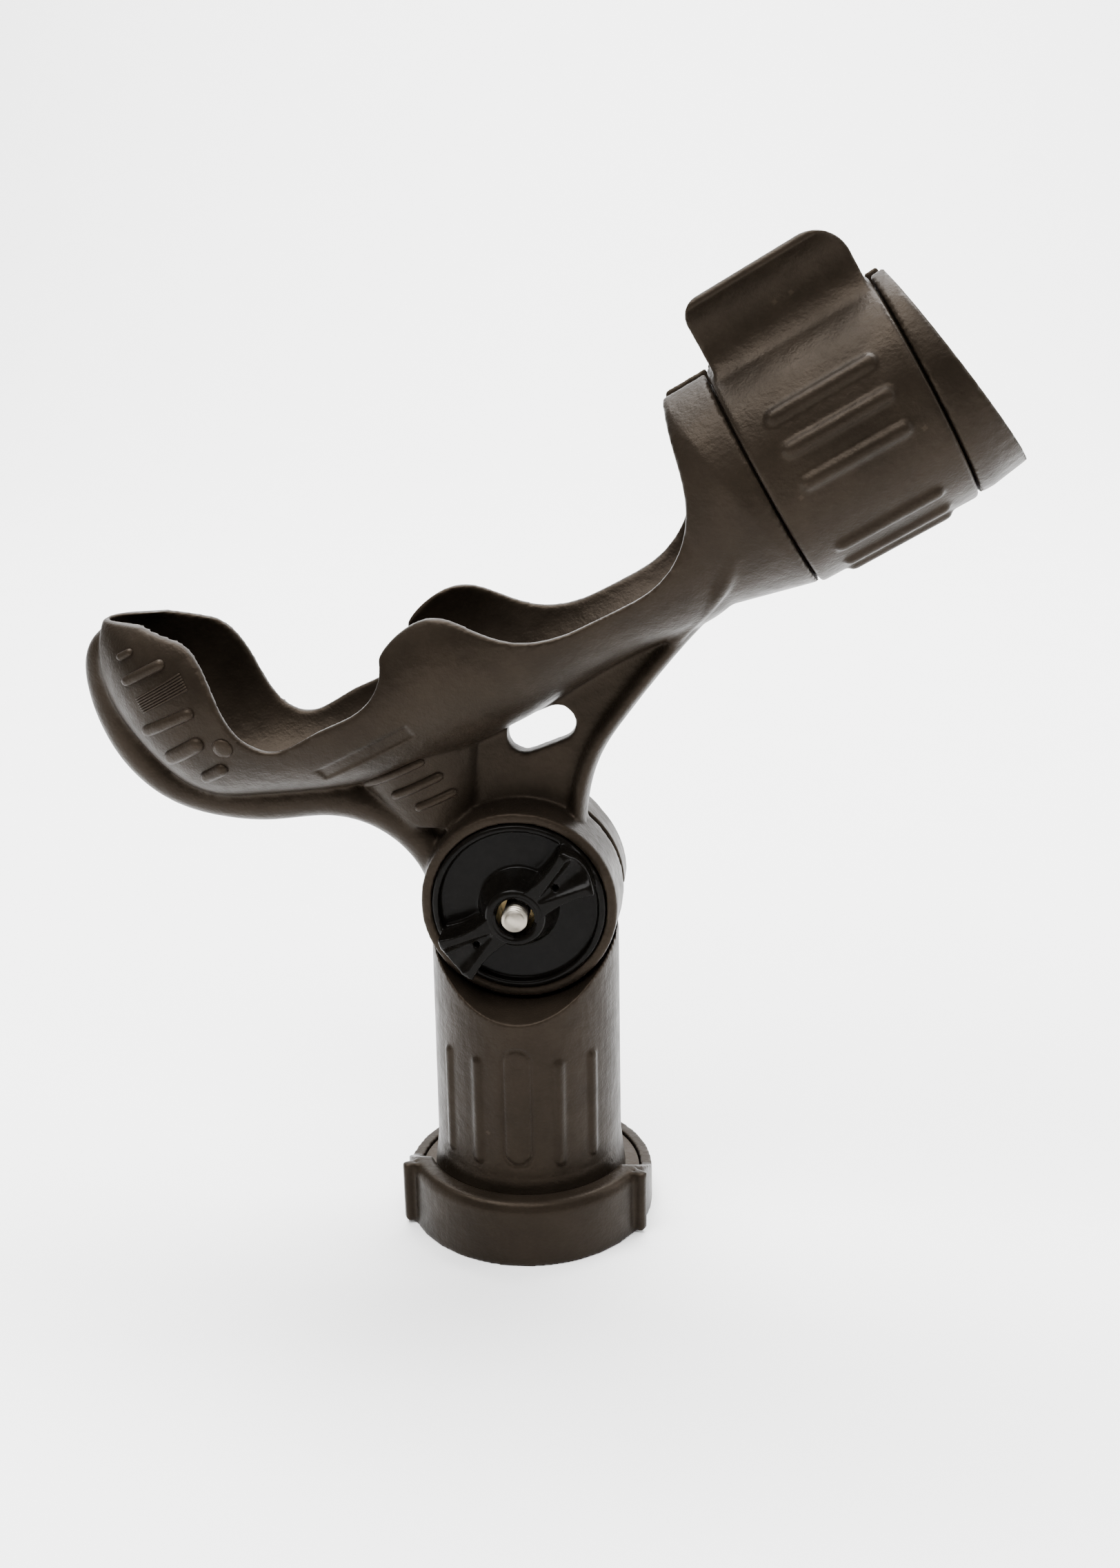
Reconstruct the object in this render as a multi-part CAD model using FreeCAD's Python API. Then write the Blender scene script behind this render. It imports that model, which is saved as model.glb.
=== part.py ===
import FreeCAD, Part
import math
import os

# Rod holder, in millimetres.
# The origin is the centre of the foot, +Z is up the post, +X is towards the mouth of the rod tube
# and -Y is the side that the tilt knob is on. The cradle is symmetric about the plane Y = 0.

V = FreeCAD.Vector
X_AXIS = V(1, 0, 0)
Y_AXIS = V(0, 1, 0)
Z_AXIS = V(0, 0, 1)

# Hinge
HINGE_Z = 112.0
BARREL_FRONT_Y = -16.2
BARREL_BACK_Y = 2.4
BARREL_FRONT_R = 30.3
BARREL_BACK_R = 31.3
KNOB_RECESS_R = 27.1
KNOB_RECESS_FLOOR_Y = -5.0
HEAD_FRONT_Y = 4.7
HEAD_R = 31.3
HEAD_BACK_Y = 32.0
HEAD_DOME_R = 16.0
HEAD_CLEARANCE = 2.2
TOOTH_COUNT = 36
TOOTH_HEIGHT = 1.0
TOOTH_INNER_R = 17.0
TOOTH_OUTER_R = 28.5
SPRING_POCKET_R = 9.4
SPRING_POCKET_DEPTH = 3.5
SPRING_WIRE_R = 0.7
SPRING_TURNS = 3.0

# Bolt and knob
BOLT_R = 3.97
BOLT_END_Y = -27.8
BOLT_HEAD_Y = 18.0
BOLT_HEAD_HEIGHT = 5.5
BOLT_HEAD_FLATS = 12.7
RUNNING_GAP = 0.06
WASHER_R = 9.5
WASHER_THICKNESS = 1.5
NUT_HEIGHT = 6.8
KNOB_R = 26.8
KNOB_FACE_Y = -17.0
KNOB_TOP_Y = -25.2
KNOB_WING_ANGLE = 38.0
KNOB_RIM_WIDTH = 2.2
KNOB_DISH_DEPTH = 2.4
KNOB_PIT_REACH = 15.5
KNOB_HUB_R = 12.6
KNOB_WELL_R = 5.8
FILLET_CORNER = 1.0 - math.sqrt(0.5)

# Post
POST_TOP_R = 29.6
POST_FOOT_R = 30.4
POST_FOOT_RISE = 1.2
POST_FOOT_HEIGHT = 14.5
POST_GRIP_LOW_Z = 30.5
POST_GRIP_HIGH_Z = 64.0
POST_GRIP_R = 2.1
POST_GRIP_TURNS = (-49.0, -25.5, 25.5, 49.0)
OVAL_LOW_Z = 34.0
OVAL_HIGH_Z = 65.5
OVAL_HALF_WIDTH = 5.2
OVAL_GROOVE_WIDTH = 1.4
OVAL_GROOVE_DEPTH = 1.0
POST_WALL = 4.0
SOCKET_R = 22.0
SOCKET_DEPTH = 38.0
SPLINE_COUNT = 12
SPLINE_WIDTH = 2.0
SPLINE_DEPTH = 1.5
HOLLOW_TOP_Z = 66.0
FLANGE_BOTTOM_Z = 3.2
FLANGE_TOP_Z = 5.6
FLANGE_R = 36.2
RETAINER_Z = 10.4
RETAINER_THICKNESS = 1.4
RETAINER_OUTER_R = 36.2
RETAINER_GROOVE_R = 30.2

# Lock ring
RING_OUTER_R = 40.6
RING_INNER_R = 37.0
RING_TOP_Z = 22.0
RING_BACK_Z = 12.6
RING_RIM_R = 33.2
RING_RIM_Z = 18.4
RING_LIP_R = 32.4
RING_LIP_BOTTOM_Z = 6.0
RING_LIP_TOP_Z = 9.0
RING_SPRING_THICKNESS = 0.8
RING_SPRING_INNER_R = 31.8
RING_SPRING_OUTER_R = 36.0
FIN_REACH = 43.8
FIN_THICKNESS = 3.4
FIN_ANGLE = 26.0
BAYONET_LUG_COUNT = 3
BAYONET_LUG_R = 34.4
BAYONET_LUG_TURN = 24.0

# Rod tube: its axis leans up by TUBE_TILT and passes TUBE_OFFSET from the hinge axis.
TUBE_TILT = 30.0
TUBE_OFFSET = 76.5
TROUGH_R = 28.0
SHELL_WALL = 3.0
BORE_R = 27.0
BARREL_TUBE_R = 31.0
END_RING_R = 34.8
MOUTH_R = 32.6
TROUGH_STATIONS = (18.0, 45.0, 75.0, 104.0)
CONE_START = 97.0
CONE_TOP_END = 112.0
COLLAR_START = 126.0
COLLAR_END = 176.4
MOUTH_LENGTH = 191.4
MOUTH_MIDDLE = 186.0
MOUTH_BEVEL = 9.6
SLOT_HALF_WIDTH = 10.0
BOW_SLOT_HALF_WIDTH = 13.0

# Locking collar
COLLAR_INNER_R = 31.4
COLLAR_OUTER_R = 35.4
COLLAR_END_GAP = 0.6
COLLAR_RIB_LENGTH = 33.0
COLLAR_RIB_R = 2.5
COLLAR_RIB_RISE = 1.6
COLLAR_RIB_STEP = 16.0
COLLAR_RIB_GROUPS = (10.0, -60.0, -120.0, -190.0)
TAB_TOP = 51.6
TAB_THICKNESS = 3.2
TAB_LEAN_OUT = 7.0
TAB_NEAR_CORNER = 6.0
TAB_FAR_CORNER = 11.0

# Web and rails
WEB_HALF = 3.2
KEEL_R = 6.7
FLANGE_HALF_WIDTH = 7.5
FLANGE_HALF_DEPTH = 3.1
SIDE_BAND_R = 2.6
WEB_SLOT_R = 5.5
WEB_SLOT_ENDS = ((1.5, 51.0), (11.5, 55.0))


def hinge_point(x, z, y=0.0):
    """A point given from the hinge axis."""
    return V(x, y, HINGE_Z + z)


def tube_placement():
    """Places a shape drawn along +X, with +Z as its top, on the axis of the rod tube."""
    lean = math.radians(TUBE_TILT)
    foot = V(-TUBE_OFFSET * math.sin(lean), 0, HINGE_Z + TUBE_OFFSET * math.cos(lean))
    return FreeCAD.Placement(foot, FreeCAD.Rotation(Y_AXIS, -TUBE_TILT))


def on_tube(shape):
    placed = shape.copy()
    placed.Placement = tube_placement().multiply(placed.Placement)
    return placed


def tube_point(along, above, y=0.0):
    return tube_placement().multVec(V(along, y, above))


def spline(points):
    curve = Part.BSplineCurve()
    curve.interpolate(points)
    return curve.toShape()


def turned(outline, axis):
    """A closed outline of straight edges, revolved all the way round."""
    return Part.Face(Part.makePolygon(outline + outline[:1])).revolve(V(0, 0, 0), axis, 360)


def cylinder_x(radius, start, end):
    return Part.makeCylinder(radius, end - start, V(start, 0, 0), X_AXIS)


def cylinder_y(radius, start, end, x=0.0, z=0.0):
    return Part.makeCylinder(radius, end - start, hinge_point(x, z, start), Y_AXIS)


def cone_y(radius_start, radius_end, start, end):
    return Part.makeCone(radius_start, radius_end, end - start, hinge_point(0, 0, start), Y_AXIS)


def plate(edges, half_thickness):
    """A flat outline in the plane Y = 0, thickened both ways."""
    face = Part.Face(Part.Wire(edges))
    face.translate(V(0, -half_thickness, 0))
    return face.extrude(V(0, 2 * half_thickness, 0))


def polyline(points):
    return Part.makePolygon(points + points[:1]).Edges


def capsule(start, end, radius):
    """A round-ended bar."""
    direction = end.sub(start)
    bar = Part.makeCylinder(radius, direction.Length, start, direction)
    ends = [Part.makeSphere(radius, start), Part.makeSphere(radius, end)]
    return bar.fuse(ends)


def mirror_y(shape):
    return shape.mirror(V(0, 0, 0), Y_AXIS)


def one_solid(shape):
    """The single solid of a finished piece."""
    cleaned = shape.removeSplitter()
    solids = sorted(cleaned.Solids, key=lambda solid: solid.Volume)
    return solids[-1]


def hexagon_y(flats, start, end):
    """A hexagonal prism along the hinge axis."""
    radius = flats / math.sqrt(3.0)
    corners = []
    for k in range(6):
        turn = math.radians(60 * k)
        corners.append(hinge_point(radius * math.cos(turn), radius * math.sin(turn), start))
    face = Part.Face(Part.makePolygon(corners + corners[:1]))
    return face.extrude(V(0, end - start, 0))


def hinge_teeth(face_y, height, turn_offset):
    """A ring of radial wedges standing on a hinge face; height is signed along Y."""
    teeth = []
    half_turn = math.radians(180.0 / TOOTH_COUNT) * 0.96
    root_y = face_y - 0.4 * math.copysign(1.0, height)
    for k in range(TOOTH_COUNT):
        middle = math.radians(360.0 * k / TOOTH_COUNT + turn_offset)
        sections = []
        for radius in (TOOTH_INNER_R, TOOTH_OUTER_R):
            corners = []
            for turn, y in ((-half_turn, root_y), (half_turn, root_y), (0.0, face_y + height)):
                angle = middle + turn
                corners.append(hinge_point(radius * math.cos(angle), radius * math.sin(angle), y))
            sections.append(Part.makePolygon(corners + corners[:1]))
        teeth.append(Part.makeLoft(sections, True, True))
    return teeth


# ---------------------------------------------------------------- cradle

# Stations of the scoop and neck, from the nose to the trough. Each is an ellipse:
# x, z of its centre from the hinge, lean of its plane, half width, half height.
SCOOP_STATIONS = (
    (-127.5, 74.0, 0.0, 8.5, 12.0),
    (-120.0, 70.0, 0.0, 15.5, 20.5),
    (-111.0, 66.0, 0.0, 20.5, 26.5),
    (-98.0, 63.0, 0.0, 23.6, 32.0),
    (-84.0, 60.5, 0.0, 25.2, 30.0),
    (-68.0, 59.8, 0.0, 26.0, 27.5),
    (-50.0, 62.0, 15.0, 26.0, 26.5),
    (-36.0, 67.3, 28.0, 26.4, 26.6),
)


def station_wire(x, z, lean, half_width, half_height):
    """An ellipse, taller than it is wide, square to a direction that leans up from +X."""
    centre = hinge_point(x, z)
    up = FreeCAD.Rotation(Y_AXIS, -lean).multVec(Z_AXIS)
    top = centre.add(up.multiply(half_height))
    side = centre.add(V(0, half_width, 0))
    return Part.Wire(Part.Ellipse(top, side, centre).toShape())


def scoop_body(inset):
    """The scoop, neck and trough as a solid, with its skin moved in by inset."""
    wires = []
    for x, z, lean, half_width, half_height in SCOOP_STATIONS:
        wires.append(station_wire(x, z, lean, half_width - inset, half_height - inset))
    radius = TROUGH_R - inset
    for along in TROUGH_STATIONS:
        centre = tube_point(along, 0)
        wires.append(station_wire(centre.x, centre.z - HINGE_Z, TUBE_TILT, radius, radius + 0.001))
    return Part.makeLoft(wires, True, False)


def tube_outside():
    """Flare, end ring, collar seat and mouth of the rod tube, as one solid drawn along +X. The flare
    starts inside the trough and is steeper on top, so the end ring begins on a leaning plane."""
    lean = math.atan((COLLAR_START - CONE_TOP_END) / (2 * END_RING_R))
    middle = V((COLLAR_START + CONE_TOP_END) / 2, 0, 0)
    up = V(-math.sin(lean), 0, math.cos(lean)).multiply(END_RING_R / math.cos(lean))
    leaning = Part.Ellipse(middle.add(up), middle.add(V(0, END_RING_R, 0)), middle)
    narrow = Part.makeCircle(TROUGH_R - 1.8, V(CONE_START - 6.0, 0, 0), X_AXIS)
    flare = Part.makeLoft([Part.Wire(narrow), Part.Wire(leaning.toShape())], True, True)
    before = Part.makeBox(60.0, 100.0, 100.0, V(-60.0, -50.0, -50.0))
    before.Placement = FreeCAD.Placement(middle, FreeCAD.Rotation(Y_AXIS, -math.degrees(lean)))
    ring = cylinder_x(END_RING_R, CONE_TOP_END - 4.0, COLLAR_START).cut(before)
    outline = [
        V(CONE_TOP_END, 0, 0),
        V(CONE_TOP_END, 0, TROUGH_R - 0.5),
        V(COLLAR_START, 0, TROUGH_R - 0.5),
        V(COLLAR_START, 0, BARREL_TUBE_R),
        V(COLLAR_END, 0, BARREL_TUBE_R),
        V(COLLAR_END, 0, END_RING_R),
        V(COLLAR_END + 4.0, 0, END_RING_R),
        V(MOUTH_LENGTH + 2.0, 0, MOUTH_R),
        V(MOUTH_LENGTH + 2.0, 0, 0),
    ]
    return flare.fuse(ring).fuse(turned(outline, X_AXIS))


def tube_inside():
    """The space for the rod in the tube, drawn along +X."""
    outline = [
        V(CONE_START - 5.0, 0, 0),
        V(CONE_START - 5.0, 0, BORE_R - 3.5),
        V(CONE_TOP_END, 0, BORE_R),
        V(MOUTH_LENGTH + 3.0, 0, BORE_R),
        V(MOUTH_LENGTH + 3.0, 0, 0),
    ]
    return turned(outline, X_AXIS)


def rim_cut():
    """Everything above the rims: the bow, the reel notch, the two lobes and the front of the tube."""
    notch = spline([
        hinge_point(-98.5, 82.0),
        hinge_point(-89.5, 70.0),
        hinge_point(-80.5, 54.0),
        hinge_point(-73.0, 50.6),
        hinge_point(-58.0, 57.0),
        hinge_point(-43.5, 64.8),
        hinge_point(-38.6, 72.0),
        hinge_point(-38.3, 79.5),
    ])
    lobe = spline([
        hinge_point(-38.3, 79.5),
        hinge_point(-32.5, 86.5),
        hinge_point(-20.5, 91.8),
        hinge_point(-8.0, 88.0),
        hinge_point(2.5, 85.3),
        hinge_point(14.0, 86.6),
        hinge_point(28.0, 93.0),
        hinge_point(40.5, 100.5),
        hinge_point(48.3, 111.5),
        hinge_point(49.8, 126.0),
        hinge_point(45.5, 141.0),
        hinge_point(42.5, 153.5),
    ])
    lid = Part.makePolygon([
        hinge_point(42.5, 153.5),
        hinge_point(38.0, 190.0),
        hinge_point(-140.0, 190.0),
        hinge_point(-140.0, 86.6),
        hinge_point(-112.0, 85.6),
        hinge_point(-98.5, 82.0),
    ])
    return plate([notch, lobe] + lid.Edges, 60.0)


def bow_slot():
    """The opening in the top of the scoop, which the bow closes at the nose."""
    half = BOW_SLOT_HALF_WIDTH
    left = -111.0
    shoulder = -101.0
    right = -90.0
    nose = [
        V(shoulder, -half, 0),
        V(left + 3.0, -half * 0.62, 0),
        V(left, 0, 0),
        V(left + 3.0, half * 0.62, 0),
        V(shoulder, half, 0),
    ]
    edges = [
        Part.makeLine(V(right, -half, 0), nose[0]),
        spline(nose),
        Part.makeLine(nose[-1], V(right, half, 0)),
        Part.makeLine(V(right, half, 0), V(right, -half, 0)),
    ]
    face = Part.Face(Part.Wire(edges))
    face.translate(hinge_point(0, 64.0))
    return face.extrude(V(0, 0, 60.0))


def swept_rail(points, half_width, half_depth):
    """A round-edged rail along a curve in the plane Y = 0: half_width is along Y."""
    path = Part.Wire(spline([hinge_point(x, z) for x, z in points]))
    tangent = path.Edges[0].tangentAt(path.Edges[0].FirstParameter)
    turn = FreeCAD.Rotation(Y_AXIS, tangent.cross(Y_AXIS), tangent, "ZXY")
    ellipse = Part.Ellipse(V(0, 0, 0), max(half_width, half_depth), min(half_width, half_depth))
    profile = Part.Wire(ellipse.toShape())
    profile.Placement = FreeCAD.Placement(hinge_point(*points[0]), turn)
    sweep = Part.BRepOffsetAPI.MakePipeShell(path)
    sweep.setBiNormalMode(Y_AXIS)
    sweep.add(profile)
    sweep.build()
    sweep.makeSolid()
    return sweep.shape()


def keel_rail():
    """The fat rail that wraps the nose and runs back under the scoop to the hinge barrel."""
    points = (
        (-122.5, 78.4), (-127.6, 74.0), (-128.4, 66.0), (-126.3, 56.0), (-121.8, 46.0), (-115.0, 37.8),
        (-105.5, 31.8), (-94.0, 28.8), (-80.0, 28.0), (-66.0, 29.6), (-54.5, 29.2), (-44.5, 26.0),
        (-36.0, 20.5), (-28.5, 12.0), (-24.0, 2.0),
    )
    rail = swept_rail(points, KEEL_R + 0.001, KEEL_R)
    return rail.fuse(Part.makeSphere(KEEL_R, hinge_point(*points[0])))


def right_flange():
    """The flange along the right edge of the web, from the hinge barrel to the cone."""
    points = (
        (17.0, 24.0), (18.6, 36.0), (22.6, 47.5), (30.0, 59.0), (38.6, 70.5), (47.5, 81.5), (57.0, 92.0),
    )
    return swept_rail(points, FLANGE_HALF_WIDTH, FLANGE_HALF_DEPTH)


def side_band():
    """The near one of the two raised bands that carry the flange up the sides of the cone."""
    points = [
        hinge_point(46.0, 82.0, -6.0),
        hinge_point(54.0, 92.0, -13.5),
        hinge_point(60.0, 101.0, -21.0),
        hinge_point(63.3, 111.0, -26.6),
        hinge_point(62.6, 122.0, -30.0),
    ]
    path = Part.Wire(spline(points))
    tangent = points[1].sub(points[0])
    profile = Part.Wire(Part.makeCircle(SIDE_BAND_R, points[0], tangent))
    band = path.makePipeShell([profile], True, True)
    return band.fuse(Part.makeSphere(SIDE_BAND_R, points[-1]))


def web_plate():
    """The flat plate between trough, keel rail, hinge barrel and right flange."""
    outline = [
        hinge_point(-30.0, 62.0), hinge_point(-58.0, 44.0), hinge_point(-60.0, 31.0),
        hinge_point(-44.5, 26.0), hinge_point(-28.0, 10.0), hinge_point(-10.0, 0.0),
        hinge_point(10.0, 0.0), hinge_point(17.5, 27.0), hinge_point(18.6, 36.0),
        hinge_point(22.6, 47.5), hinge_point(30.0, 59.0), hinge_point(57.0, 92.0),
        hinge_point(48.0, 93.0), hinge_point(10.0, 72.0),
    ]
    return plate(polyline(outline), WEB_HALF)


# Level sections of the neck's fairing: x, z from the hinge, half length, half width.
FAIRING_SECTIONS = ((-40.0, 62.0, 28.0, 21.0), (-34.0, 42.0, 21.5, 14.0), (-27.0, 22.0, 12.0, 8.4))


def neck_fairing():
    """The swelling that carries the neck down into the keel rail and the hinge barrel."""
    wires = []
    for x, z, half_length, half_width in FAIRING_SECTIONS:
        centre = hinge_point(x, z)
        end = centre.add(V(half_length, 0, 0))
        side = centre.add(V(0, half_width, 0))
        wires.append(Part.Wire(Part.Ellipse(end, side, centre).toShape()))
    return Part.makeLoft(wires, True, False)


def hinge_barrel():
    """The round boss of the cradle that the knob sits in."""
    return cone_y(BARREL_FRONT_R, BARREL_BACK_R, BARREL_FRONT_Y, BARREL_BACK_Y)


def web_slot():
    """The round-ended slot through the web."""
    first, second = (hinge_point(x, z, -40.0) for x, z in WEB_SLOT_ENDS)
    across = second.sub(first).cross(Y_AXIS).normalize().multiply(WEB_SLOT_R)
    corners = [first.add(across), second.add(across), second.sub(across), first.sub(across)]
    bar = Part.Face(Part.makePolygon(corners + corners[:1])).extrude(V(0, 80.0, 0))
    rounds = [Part.makeCylinder(WEB_SLOT_R, 80.0, end, Y_AXIS) for end in (first, second)]
    return bar.fuse(rounds)


def cradle_outside():
    """Every outer form of the cradle except its hinge barrel, kept clear of the post's head."""
    skin = scoop_body(0.0)
    for form in (
        on_tube(tube_outside()),
        neck_fairing(),
        web_plate(),
        keel_rail(),
        right_flange(),
        side_band(),
        mirror_y(side_band()),
    ):
        skin = skin.fuse(form)
    head_room = cylinder_y(HEAD_R + HEAD_CLEARANCE, BARREL_BACK_Y, BARREL_BACK_Y + HEAD_BACK_Y)
    return skin.cut(head_room)


def cradle():
    barrel = hinge_barrel().fuse(hinge_teeth(BARREL_BACK_Y, TOOTH_HEIGHT, 0.0))
    body = cradle_outside().fuse(barrel)
    slot_start = 100.0
    slot_length = MOUTH_LENGTH + 10.0 - slot_start
    tube_slot = Part.makeBox(slot_length, 2 * SLOT_HALF_WIDTH, 50.0, V(slot_start, -SLOT_HALF_WIDTH, 5.0))
    mouth = Part.makeBox(40.0, 100.0, 120.0, V(0, -50.0, -60.0))
    mouth.Placement = FreeCAD.Placement(V(MOUTH_MIDDLE, 0, 0), FreeCAD.Rotation(Y_AXIS, -MOUTH_BEVEL))
    for cutter in (
        scoop_body(SHELL_WALL),
        on_tube(tube_inside()),
        rim_cut(),
        bow_slot(),
        on_tube(tube_slot),
        on_tube(mouth),
        web_slot(),
        cylinder_y(KNOB_RECESS_R, BARREL_FRONT_Y - 1.0, KNOB_RECESS_FLOOR_Y),
        cylinder_y(BOLT_R + RUNNING_GAP, -30.0, 30.0),
        cylinder_y(SPRING_POCKET_R, BARREL_BACK_Y - SPRING_POCKET_DEPTH, BARREL_BACK_Y + 5.0),
    ):
        body = body.cut(cutter)
    return body.Solids[0]


# ---------------------------------------------------------------- collar

def collar_tab():
    """The thumb tab, drawn in tube coordinates: it stands up from the near edge and leans out."""
    start = COLLAR_START + 2.4
    end = COLLAR_END - 1.6
    outline = [
        Part.makeLine(V(start, -SLOT_HALF_WIDTH, 31.0), V(start, -SLOT_HALF_WIDTH, 35.5)),
        Part.Arc(
            V(start, -SLOT_HALF_WIDTH, 35.5),
            V(start, -SLOT_HALF_WIDTH - 2.0, 43.5),
            V(start, -SLOT_HALF_WIDTH - TAB_LEAN_OUT, TAB_TOP),
        ).toShape(),
        Part.Arc(
            V(start, -SLOT_HALF_WIDTH - TAB_LEAN_OUT, TAB_TOP),
            V(start, -SLOT_HALF_WIDTH - TAB_LEAN_OUT - 2.4, TAB_TOP + 0.5),
            V(start, -SLOT_HALF_WIDTH - TAB_LEAN_OUT - TAB_THICKNESS, TAB_TOP - 1.2),
        ).toShape(),
        Part.Arc(
            V(start, -SLOT_HALF_WIDTH - TAB_LEAN_OUT - TAB_THICKNESS, TAB_TOP - 1.2),
            V(start, -SLOT_HALF_WIDTH - 5.0, 40.5),
            V(start, -SLOT_HALF_WIDTH - 9.0, 29.8),
        ).toShape(),
        Part.makeLine(V(start, -SLOT_HALF_WIDTH - 9.0, 29.8), V(start, -SLOT_HALF_WIDTH, 31.0)),
    ]
    blade = Part.Face(Part.Wire(outline)).extrude(V(end - start, 0, 0))
    top = TAB_TOP + 0.8
    window = [
        Part.makeLine(V(start, -40, 20), V(start, -40, top - TAB_NEAR_CORNER)),
        Part.Arc(
            V(start, -40, top - TAB_NEAR_CORNER),
            V(start + TAB_NEAR_CORNER * FILLET_CORNER, -40, top - TAB_NEAR_CORNER * FILLET_CORNER),
            V(start + TAB_NEAR_CORNER, -40, top),
        ).toShape(),
        Part.makeLine(V(start + TAB_NEAR_CORNER, -40, top), V(end - TAB_FAR_CORNER, -40, top)),
        Part.Arc(
            V(end - TAB_FAR_CORNER, -40, top),
            V(end - TAB_FAR_CORNER * FILLET_CORNER, -40, top - TAB_FAR_CORNER * FILLET_CORNER),
            V(end, -40, top - TAB_FAR_CORNER),
        ).toShape(),
        Part.makeLine(V(end, -40, top - TAB_FAR_CORNER), V(end, -40, 20)),
        Part.makeLine(V(end, -40, 20), V(start, -40, 20)),
    ]
    return blade.common(Part.Face(Part.Wire(window)).extrude(V(0, 60, 0)))


def locking_collar():
    start = COLLAR_START + COLLAR_END_GAP
    end = COLLAR_END - COLLAR_END_GAP
    band = cylinder_x(COLLAR_OUTER_R, start, end)
    band = band.makeFillet(1.2, [edge for edge in band.Edges if edge.Length > 200.0])
    ribs = []
    middle = (start + end) / 2
    reach = COLLAR_RIB_LENGTH / 2 - COLLAR_RIB_R
    rib_r = COLLAR_OUTER_R + COLLAR_RIB_RISE - COLLAR_RIB_R
    for group in COLLAR_RIB_GROUPS:
        for k in (-1, 0, 1):
            turn = math.radians(group + k * COLLAR_RIB_STEP)
            y = -rib_r * math.cos(turn)
            z = rib_r * math.sin(turn)
            ribs.append(capsule(V(middle - reach, y, z), V(middle + reach, y, z), COLLAR_RIB_R))
    slot = Part.makeBox(end - start + 4.0, 2 * SLOT_HALF_WIDTH, 50.0, V(start - 2.0, -SLOT_HALF_WIDTH, 0))
    body = band.fuse(ribs + [collar_tab()])
    body = body.cut([cylinder_x(COLLAR_INNER_R, start - 2.0, end + 2.0), slot])
    return one_solid(on_tube(body))


# ---------------------------------------------------------------- post

def post_head():
    """The round head behind the cradle's barrel, with a domed back."""
    disc = cylinder_y(HEAD_R, HEAD_FRONT_Y, HEAD_BACK_Y)
    outline = [
        Part.makeLine(V(0, 0, HINGE_Z - 40.0), V(POST_TOP_R, 0, HINGE_Z - 40.0)),
        Part.makeLine(V(POST_TOP_R, 0, HINGE_Z - 40.0), V(POST_TOP_R, 0, HINGE_Z + HEAD_R - HEAD_DOME_R)),
        Part.Arc(
            V(POST_TOP_R, 0, HINGE_Z + HEAD_R - HEAD_DOME_R),
            V(POST_TOP_R - HEAD_DOME_R * FILLET_CORNER, 0, HINGE_Z + HEAD_R - HEAD_DOME_R * FILLET_CORNER),
            V(POST_TOP_R - HEAD_DOME_R, 0, HINGE_Z + HEAD_R),
        ).toShape(),
        Part.makeLine(V(POST_TOP_R - HEAD_DOME_R, 0, HINGE_Z + HEAD_R), V(0, 0, HINGE_Z + HEAD_R)),
        Part.makeLine(V(0, 0, HINGE_Z + HEAD_R), V(0, 0, HINGE_Z - 40.0)),
    ]
    envelope = Part.Face(Part.Wire(outline)).revolve(V(0, 0, 0), Z_AXIS, 360)
    slab = Part.makeBox(80.0, 40.0, 60.0, V(-40.0, HEAD_FRONT_Y, HINGE_Z))
    envelope_side = cylinder_y(HEAD_R, HEAD_FRONT_Y, HEAD_FRONT_Y + 12.0)
    return disc.common(envelope).fuse(envelope_side.common(slab))


def hinge_recess():
    """The room for the cradle's barrel in the front of the post, flared at its front edge."""
    clear_r = BARREL_BACK_R + 0.4
    outline = [
        Part.makeLine(V(0, HEAD_FRONT_Y, 0), V(clear_r, HEAD_FRONT_Y, 0)),
        Part.makeLine(V(clear_r, HEAD_FRONT_Y, 0), V(clear_r, -18.0, 0)),
        Part.Arc(V(clear_r, -18.0, 0), V(clear_r + 0.7, -25.0, 0), V(clear_r + 3.4, -34.0, 0)).toShape(),
        Part.makeLine(V(clear_r + 3.4, -34.0, 0), V(0, -34.0, 0)),
        Part.makeLine(V(0, -34.0, 0), V(0, HEAD_FRONT_Y, 0)),
    ]
    room = Part.Face(Part.Wire(outline)).revolve(V(0, 0, 0), Y_AXIS, 360)
    room.translate(V(0, 0, HINGE_Z))
    above = Part.makeBox(90.0, 34.0 + HEAD_FRONT_Y, 60.0, V(-45.0, -34.0, HINGE_Z))
    return room.fuse(above)


def post_grips():
    """Raised round-ended ribs on the front and back of the post."""
    ribs = []
    for turn in POST_GRIP_TURNS:
        for side in (0.0, 180.0):
            angle = math.radians(turn + side)
            x = math.sin(angle) * (POST_FOOT_R - 1.4)
            y = -math.cos(angle) * (POST_FOOT_R - 1.4)
            ribs.append(capsule(V(x, y, POST_GRIP_LOW_Z), V(x, y, POST_GRIP_HIGH_Z), POST_GRIP_R))
    return ribs


def oval_outline():
    """The engraved round-ended outline on the front of the post."""
    low = V(0, -40.0, OVAL_LOW_Z)
    high = V(0, -40.0, OVAL_HIGH_Z)
    bands = []
    for half in (OVAL_HALF_WIDTH, OVAL_HALF_WIDTH - OVAL_GROOVE_WIDTH):
        block = Part.makeBox(2 * half, 40.0, high.z - low.z, V(-half, -40.0, low.z))
        rounds = [Part.makeCylinder(half, 40.0, end, Y_AXIS) for end in (low, high)]
        bands.append(block.fuse(rounds))
    track = bands[0].cut(bands[1])
    return track.cut(Part.makeCylinder(POST_FOOT_R - OVAL_GROOVE_DEPTH, HINGE_Z))


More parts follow.
